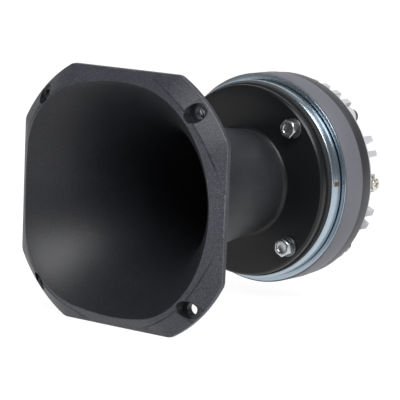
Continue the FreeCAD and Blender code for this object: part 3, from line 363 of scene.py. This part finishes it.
def hornSection(angle):
    # closed section of the horn at one angle, from the throat over the face and back outside
    c = max(abs(math.cos(angle)), abs(math.sin(angle)))
    outer = min(horn["half"] / c, horn["corner"])
    feet = [(outer, horn["rim"]),
            (roundedSquare(horn["shoulderHalf"], horn["fillet"], angle), horn["shoulder"]),
            (roundedSquare(horn["crestHalf"], horn["fillet"], angle), horn["crest"])]
    lipAt = faceCrossing(feet, lambda y: bellRadius(y, horn["flare"]), 1.2)
    lip = facePoint(lipAt, feet)
    points = [(coneRadius(y), y) for y in (horn["rear"], 102.0, 84.6)]
    points += [(bellRadius(y, horn["flare"]), y) for y in
               [horn["coneEnd"] + (lip[1] - horn["coneEnd"]) * k / 20 for k in range(20)]]
    # turned crease of the corners, which runs out towards the middle of each side
    full = max(0.0, min(1.0, (outer - horn["creaseEnd"]) / horn["creaseFade"]))
    creaseAt = faceCrossing(feet, lambda y: horn["creaseRadius"], lipAt)
    span = max(outer - horn["creaseRadius"], 0.6)
    inner = [facePoint(creaseAt + (lipAt - creaseAt) * (1 - k / 11), feet) for k in range(1, 12)]
    points += filletPoints(points[-1], lip, inner[0], horn["lip"], 4)
    points += inner
    for away, depth in horn["crease"]:
        r, y = facePoint(creaseAt * (1 - min(away / span, 0.9)), feet)
        points.append((r, y + depth * full))
    points += filletPoints(points[-1], (outer, horn["rim"]), (outer, 0), horn["rimEdge"], 3)
    back = bellRadius(0, horn["flare"] - horn["wall"])
    points += filletPoints((outer, horn["rim"]), (outer, 0), (back, 0), 0.4, 2)
    outside = [(bellRadius(y, horn["flare"] - horn["wall"]), y)
               for y in (6, 14, 22, 30, 38, 46, 54, 61, 67.6)]
    points += filletPoints((outer, 0), (back, 0), outside[0], 2.0, 3)
    points += outside
    slope = math.tan(math.radians(horn["coneAngle"]))
    neckEnd = outside[-1][0] - (horn["discFront"] - outside[-1][1]) * slope
    points += [(outside[-1][0] - (y - outside[-1][1]) * slope, y) for y in (78, 90, 102)]
    points += filletPoints(points[-1], (neckEnd, horn["discFront"]), (horn["disc"], horn["discFront"]),
                           horn["neckFillet"], 5)
    points += [(42, horn["discFront"]), (50, horn["discFront"])]
    rim = horn["disc"], horn["discFront"] + horn["discChamfer"]
    shoulder = horn["disc"] - horn["discChamfer"], horn["discFront"]
    points += filletPoints(points[-1], shoulder, rim, 0.4, 2)
    points += filletPoints(shoulder, rim, (horn["disc"], horn["rear"]), 0.4, 2)
    points += filletPoints(rim, (horn["disc"], horn["rear"]), (horn["throat"], horn["rear"]), 0.5, 2)
    points += [(50, horn["rear"]), (40, horn["rear"])]
    return points


def makeHorn():
    base = hornSection(0)
    piece = turnedPiece("hornCasting", base, segments=horn["columns"])
    # the round flange is pressed square, one column of points at a time
    sections = {}
    for vertex in piece.data.vertices:
        x, y, z = vertex.co / mm
        angle = math.atan2(z, x)
        key = round(math.degrees(angle) * 4)
        if key not in sections:
            sections[key] = hornSection(angle)
        r = math.hypot(x, z)
        nearest = min(range(len(base)), key=lambda k: (base[k][0] - r) ** 2 + (base[k][1] - y) ** 2)
        r, y = sections[key][nearest]
        vertex.co = Vector((r * math.cos(angle), y, r * math.sin(angle))) * mm
    cutters = []
    for turn in range(4):
        wide, narrow, bottom = horn["sunkRadius"], horn["holeRadius"], horn["sunkFloor"]
        bore = turnedPiece("bore", [(0, -20), (wide, -20), (wide, bottom), (narrow, bottom),
                                    (narrow, 3), (0, 3)], segments=40)
        bore.data.transform(Matrix.Translation(Vector((horn["holes"], 0, horn["holes"])) * mm))
        bore.data.transform(Matrix.Rotation(math.radians(90 * turn), 4, "Y"))
        cutters.append(bore)
        drill = turnedPiece("drill", [(0, 110), (horn["boltHole"], 110), (horn["boltHole"], 123), (0, 123)],
                            segments=32)
        reach = horn["boltCircle"] / math.sqrt(2)
        drill.data.transform(Matrix.Translation(Vector((reach, 0, reach)) * mm))
        drill.data.transform(Matrix.Rotation(math.radians(90 * turn), 4, "Y"))
        cutters.append(drill)
    cut(piece, joined(cutters, "cutters"))
    finished(piece, sandyCoat, "black_powder_coat", "horn", smooth=35)
    # the sandy coat ends at the lip: the bell and the counterbores get a smoother coat that is blacker as
    # painted shade, the driver flange's disc a smoother coat that is darker as painted shade, and the rim's
    # edge a rubbed coat that is lighter as a painted highlight
    for coat in (discCoatPaintedShade, bellCoatPaintedShade, neckCoat, rubbedCoatPaintedHighlight):
        piece.data.materials.append(coat)
    for face in piece.data.polygons:
        x, y, z = face.center / mm
        inside = bellRadius(y, horn["flare"]) if y < horn["coneEnd"] else coneRadius(y)
        toHole = math.hypot(abs(x) - horn["holes"], abs(z) - horn["holes"])
        away = math.hypot(x, z)
        edge = min(horn["half"] * away / max(abs(x), abs(z)), horn["corner"])
        if y > 0.5 and away > inside + horn["wall"] / 2:
            # the disc gets the darker satin coat: painted shade from the horn's flange
            face.material_index = 1 if y > horn["discFront"] - 1.2 else 3
        # lighter rubbed coat on the rim's front edge: a painted highlight line
        elif away > edge - horn["rimEdge"] and horn["rim"] - 0.5 < y < horn["rim"] + horn["rimEdge"]:
            face.material_index = 4
        # blacker coat in the bell and the counterbores: painted shade in the hollows
        elif away < inside + 0.25 or toHole < horn["sunkRadius"] + 0.05:
            face.material_index = 2
    return piece


makeHorn()
print("horn done")

# bolts and washers between horn and driver: head (front, rear), washers (outer and inner radius,
# front, rear), and each bolt's own turn in degrees
bolt = {"flats": 10.0, "head": (106.3, 110.3), "thread": 5.8, "end": 126.3, "dish": 3.0,
        "turns": (48, 29, 35, 10), "washer": (6.0, 3.2, 111.9, 113.5),
        "spring": (5.55, 3.15, 110.3, 111.9), "split": 1.3}


def makeFasteners():
    front, rear = bolt["head"]
    corner = bolt["flats"] / math.sqrt(3)
    heads, flats, springs = [], [], []
    reach = horn["boltCircle"] / math.sqrt(2)
    for index, (turn, (sx, sz)) in enumerate(zip(bolt["turns"], ((1, 1), (1, -1), (-1, -1), (-1, 1)))):
        # hexagon prism cut by the turned shape whose cone chamfers its corners
        deselectAll()
        bpy.ops.mesh.primitive_cylinder_add(vertices=6, radius=corner * mm, depth=(rear - front) * mm,
                                            location=(0, (front + rear) / 2 * mm, 0),
                                            rotation=(math.pi / 2, 0, 0))
        head = bpy.context.object
        bpy.ops.object.transform_apply(location=True, rotation=True, scale=True)
        lens = turnedPiece("lens", [(0, front + 0.45), (bolt["dish"] - 0.3, front + 0.45),
                                    (bolt["dish"], front), (4.4, front), (6.2, front + 1.15),
                                    (6.2, rear + 1), (0, rear + 1)], segments=48)
        cut(head, lens, "INTERSECT")
        applyModifier(head, "BEVEL", width=0.15 * mm, segments=2, limit_method="ANGLE",
                      angle_limit=math.radians(25))
        thread, end = bolt["thread"] / 2, bolt["end"]
        shank = turnedPiece("shank", [(0, rear - 0.5), (thread, rear - 0.5), (thread, end - 0.6),
                                      (thread - 0.6, end), (0, end)], segments=32)
        whole = joined([head, shank], "bolt%d" % index)
        whole.data.transform(Matrix.Rotation(math.radians(30 - turn), 4, "Y"))
        outer, inner, near, far = bolt["washer"]
        flat = turnedPiece("flat%d" % index, [(inner, near), (outer, near), (outer, far), (inner, far)],
                           [(outer, near, 0.25)], segments=48)
        outer, inner, near, far = bolt["spring"]
        spring = turnedPiece("spring%d" % index, [(inner, near), (outer, near), (outer, far), (inner, far)],
                             segments=48)
        deselectAll()
        bpy.ops.mesh.primitive_cube_add(size=1)
        slit = bpy.context.object
        slit.data.transform(Matrix.Translation((4.5 * mm, (near + far) / 2 * mm, 0))
                            @ Matrix.Rotation(math.radians(28), 4, "X")
                            @ Matrix.Diagonal((6 * mm, 6 * mm, bolt["split"] * mm, 1)))
        cut(spring, slit)
        spring.data.transform(Matrix.Rotation(math.radians(60 * index + 20), 4, "Y"))
        for piece in (whole, flat, spring):
            piece.data.transform(Matrix.Translation(Vector((sx * reach, 0, sz * reach)) * mm))
        heads.append(whole)
        flats.append(flat)
        springs.append(spring)
    finished(joined(heads, "hexagonBolts"), zincFastener, "zinc_steel", "horn_bolts")
    # the washers' darker zinc: painted shade under the bolt heads
    finished(joined(flats, "flatWashers"), dullZincPaintedShade, "zinc_steel", "flat_washers")
    finished(joined(springs, "springWashers"), dullZincPaintedShade, "zinc_steel", "spring_washers")


makeFasteners()
print("fasteners done")

# rings of the driver in millimetres: one or two radii, then front and rear; the groove is (front, rear,
# depth), the recess in front of the top plate (depth, height), whose faces are painted black as shade
# between magnet and top plate, and the stain a turn in degrees
stack = {"bore": 25.0, "hornGasket": (59.5, 119.6, 121.6), "plate": (61.0, 121.6, 131.4),
         "plateEdge": 1.3, "groove": (129.3, 130.3, 1.0), "ledge": 63.9,
         "magnet": (41.0, 64.8, 131.4, 148.1), "topPlate": (36.9, 64.1, 148.1, 157.9),
         "stain": 3.75, "recessPaintedShade": (1.4, 0.8), "coverGasket": (52.5, 62.1, 157.9, 158.7)}


def makeStack():
    outer, near, far = stack["hornGasket"]
    piece = turnedPiece("hornGasketRing", [(25.5, near), (outer, near), (outer, far), (25.5, far)],
                        [(outer, near, 0.3), (outer, far, 0.3)])
    finished(piece, gasketRubber, "grey_gasket", "horn_gasket")
    outer, near, far = stack["plate"]
    low, high, deep = stack["groove"]
    piece = turnedPiece("zincBackPlate", [
        (30.0, near), (outer, near), (outer, near + 6), (outer, low), (outer - deep, low),
        (outer - deep, high), (outer, high), (stack["ledge"], high), (stack["ledge"], far), (30.0, far)],
        [(outer, near, stack["plateEdge"]), (outer, low, 0.15), (stack["ledge"], high, 0.25)])
    finished(piece, zincPlate, "zinc_steel", "back_plate")
    # the groove has rusted a little, and beside it one patch of the zinc is stained
    piece.data.materials.append(brownedSteel)
    piece.data.materials.append(stainedZinc)
    for face in piece.data.polygons:
        x, y, z = face.center / mm
        turn = math.degrees(math.atan2(z, x))
        if low < y < high and math.hypot(x, z) < outer - 0.2:
            face.material_index = 1
        elif near + 1 < y < near + 6 and abs(turn - stack["stain"]) < 1.3:
            face.material_index = 2
    inner, outer, near, far = stack["magnet"]
    piece = turnedPiece("ferriteRing", [(inner, near), (outer, near), (outer, far), (inner, far)],
                        [(outer, near, 0.5), (outer, far, 0.5)])
    finished(piece, groundFerrite, "ferrite", "ferrite_magnet")
    inner, outer, near, far = stack["topPlate"]
    deep, step = stack["recessPaintedShade"]
    piece = turnedPiece("blackTopPlate", [
        (inner, near), (outer - deep, near), (outer - deep, near + step), (outer, near + step),
        (outer, far), (inner, far)], [(outer, near + step, 0.2), (outer, far, 0.7)])
    finished(piece, blackSteel, "black_steel", "top_plate")
    piece.data.materials.append(blackResin)
    # the faces in the recess are black: painted shade in the gap between magnet and top plate
    for face in piece.data.polygons:
        x, y, z = face.center / mm
        if y < near + step - 0.1 and math.hypot(x, z) > outer - deep - 0.2:
            face.material_index = 1
    inner, outer, near, far = stack["coverGasket"]
    piece = turnedPiece("coverGasketRing", [(inner, near), (outer, near), (outer, far), (inner, far)])
    finished(piece, gasketRubber, "grey_gasket", "cover_gasket")


makeStack()
print("plates and magnet done")


def softened(node, name, width, material, slot, segments=2):
    # copy of a solid with its sharp edges bevelled
    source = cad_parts[node]
    piece = source.copy()
    piece.data = source.data.copy()
    piece.name = piece.data.name = name
    for key in list(piece.keys()):
        del piece[key]
    piece.parent = None
    bpy.context.collection.objects.link(piece)
    selectOnly(piece)
    bpy.ops.object.mode_set(mode="EDIT")
    bpy.ops.mesh.select_all(action="SELECT")
    bpy.ops.mesh.remove_doubles(threshold=0.001 * mm)
    bpy.ops.mesh.dissolve_limited(angle_limit=math.radians(1))
    bpy.ops.object.mode_set(mode="OBJECT")
    applyModifier(piece, "BEVEL", width=width * mm, segments=segments, limit_method="ANGLE",
                  angle_limit=math.radians(30), use_clamp_overlap=True)
    return finished(piece, material, slot, node)


# cross recess of the terminal screws, and how wide each softened edge is
terminal = {"face": 62.2, "height": 166.9, "turns": (25, 115), "cross": 4.6, "blade": 1.1,
            "depth": 1.1, "screwEdge": 0.5, "bushEdge": 0.15, "washerEdge": 0.12}
cover = {"edge": 0.4, "screwEdge": 0.15}
softened("rear_cover", "rearCoverCasting", cover["edge"], castAluminium, "cast_aluminium")
softened("cover_screws", "coverScrews", cover["screwEdge"], blackSteel, "black_steel")
for side in ("right", "left"):
    softened("terminal_bush_" + side, side + "TerminalBush", terminal["bushEdge"], blackResin,
             "black_resin")
    softened("clamp_washer_" + side, side + "ClampWasher", terminal["washerEdge"], nickelPlate,
             "nickel")
    screw = softened("terminal_screw_" + side, side + "TerminalScrew", terminal["screwEdge"], nickelPlate,
                     "nickel", 3)
    for turn in terminal["turns"]:
        deselectAll()
        bpy.ops.mesh.primitive_cube_add(size=1)
        bar = bpy.context.object
        sign = 1 if side == "right" else -1
        bar.data.transform(Matrix.Translation((sign * terminal["face"] * mm, terminal["height"] * mm, 0))
                           @ Matrix.Rotation(math.radians(turn), 4, "X")
                           @ Matrix.Diagonal((terminal["depth"] * 2 * mm, terminal["cross"] * mm,
                                              terminal["blade"] * mm, 1)))
        cut(screw, bar)
print("cover and terminals done")

# places in metres from the flange, turns in degrees; a lamp is (place, size, power in watts)
stage = {"floorHeight": -74.25, "floorSize": 6, "world": 0.2, "glow": 0.93, "paper": "#8E8E8E",
         "backdropSize": 5, "backdropPlace": (-2.0, 2.5, 1.2), "backdropTurn": 38.7,
         "aim": (0, 0.05, 0), "cameraPlace": (0.77368, -0.94370, 0.19125),
         "cameraTurn": (81.1218, -2.3247, 37.6842), "lens": 195.16, "film": 36,
         "lamps": {"keyLight": ((0.8, -0.85, 1.25), 1.0, 25.0), "lowLight": ((-0.3, -1.6, 0.0), 0.8, 8.0),
                   "fillLight": ((1.3, -1.1, 0.6), 0.9, 0.6), "rimLight": ((0.8, 0.9, 1.4), 0.8, 7.0)}}


def whiteToRays(tree):
    # 1 for the rays of the camera and those that gloss and glass send out
    path = addNode(tree, "ShaderNodeLightPath")
    first = addNode(tree, "ShaderNodeMath", {"operation": "MAXIMUM"},
                    {0: path.outputs["Is Camera Ray"], 1: path.outputs["Is Glossy Ray"]})
    both = addNode(tree, "ShaderNodeMath", {"operation": "MAXIMUM"},
                   {0: first.outputs[0], 1: path.outputs["Is Transmission Ray"]})
    return both.outputs[0]


def makeStage():
    # pale floor: what the camera, gloss and glass see has a glow of its own and keeps the shadow
    deselectAll()
    bpy.ops.mesh.primitive_plane_add(size=stage["floorSize"], location=(0, 0, stage["floorHeight"] * mm))
    floor = bpy.context.object
    floor.name = "floor"
    material, tree = newMaterial("paleFloor")
    seen = whiteToRays(tree)
    paper = addNode(tree, "ShaderNodeBsdfDiffuse", {"Color": toLinear("#F4F4F4")})
    thin = addNode(tree, "ShaderNodeBsdfDiffuse", {"Color": toLinear(stage["paper"])})
    glow = addNode(tree, "ShaderNodeEmission", {"Color": (1, 1, 1, 1), "Strength": stage["glow"]})
    lit = addNode(tree, "ShaderNodeAddShader", {}, {0: thin.outputs[0], 1: glow.outputs[0]})
    mixed = addNode(tree, "ShaderNodeMixShader", {}, {0: seen, 1: paper.outputs[0], 2: lit.outputs[0]})
    addNode(tree, "ShaderNodeOutputMaterial", links={"Surface": mixed.outputs[0]})
    floor.data.materials.append(material)
    # white backdrop far behind the object, which only the camera, gloss and glass see as lit
    bpy.ops.mesh.primitive_plane_add(size=stage["backdropSize"], location=stage["backdropPlace"],
                                     rotation=(math.pi / 2, 0, math.radians(stage["backdropTurn"])))
    backdrop = bpy.context.object
    backdrop.name = "backdrop"
    material, tree = newMaterial("whiteBackdrop")
    seen = whiteToRays(tree)
    dull = addNode(tree, "ShaderNodeBsdfDiffuse", {"Color": toLinear("#F4F4F4")})
    glow = addNode(tree, "ShaderNodeEmission", {"Color": (1, 1, 1, 1), "Strength": 1.0})
    mixed = addNode(tree, "ShaderNodeMixShader", {}, {0: seen, 1: dull.outputs[0], 2: glow.outputs[0]})
    addNode(tree, "ShaderNodeOutputMaterial", links={"Surface": mixed.outputs[0]})
    backdrop.data.materials.append(material)
    world = bpy.data.worlds.new("studio")
    bpy.context.scene.world = world
    world.use_nodes = True
    tree = world.node_tree
    tree.nodes.clear()
    path = addNode(tree, "ShaderNodeLightPath")
    dim = addNode(tree, "ShaderNodeBackground", {"Color": (1, 1, 1, 1), "Strength": stage["world"]})
    bright = addNode(tree, "ShaderNodeBackground", {"Color": (1, 1, 1, 1), "Strength": 1.0})
    both = addNode(tree, "ShaderNodeMixShader", {}, {0: path.outputs["Is Camera Ray"],
                                                     1: dim.outputs[0], 2: bright.outputs[0]})
    addNode(tree, "ShaderNodeOutputWorld", links={"Surface": both.outputs[0]})


def addLamp(name, place, size, power):
    data = bpy.data.lights.new(name, "AREA")
    data.shape, data.size, data.energy = "DISK", size, power
    lamp = bpy.data.objects.new(name, data)
    bpy.context.collection.objects.link(lamp)
    lamp.location = place
    lamp.rotation_mode = "QUATERNION"
    lamp.rotation_quaternion = (Vector(stage["aim"]) - Vector(place)).to_track_quat("-Z", "Y")


def makeCamera():
    data = bpy.data.cameras.new("camera")
    camera = bpy.data.objects.new("camera", data)
    bpy.context.collection.objects.link(camera)
    data.lens, data.sensor_width = stage["lens"], stage["film"]
    data.clip_start, data.clip_end = 0.05, 20
    camera.location = stage["cameraPlace"]
    camera.rotation_euler = [math.radians(turn) for turn in stage["cameraTurn"]]
    bpy.context.scene.camera = camera


makeStage()
for lampName, (place, size, power) in stage["lamps"].items():
    addLamp(lampName, place, size, power)
makeCamera()
bpy.context.scene.view_settings.view_transform = "Standard"
print("scene done")
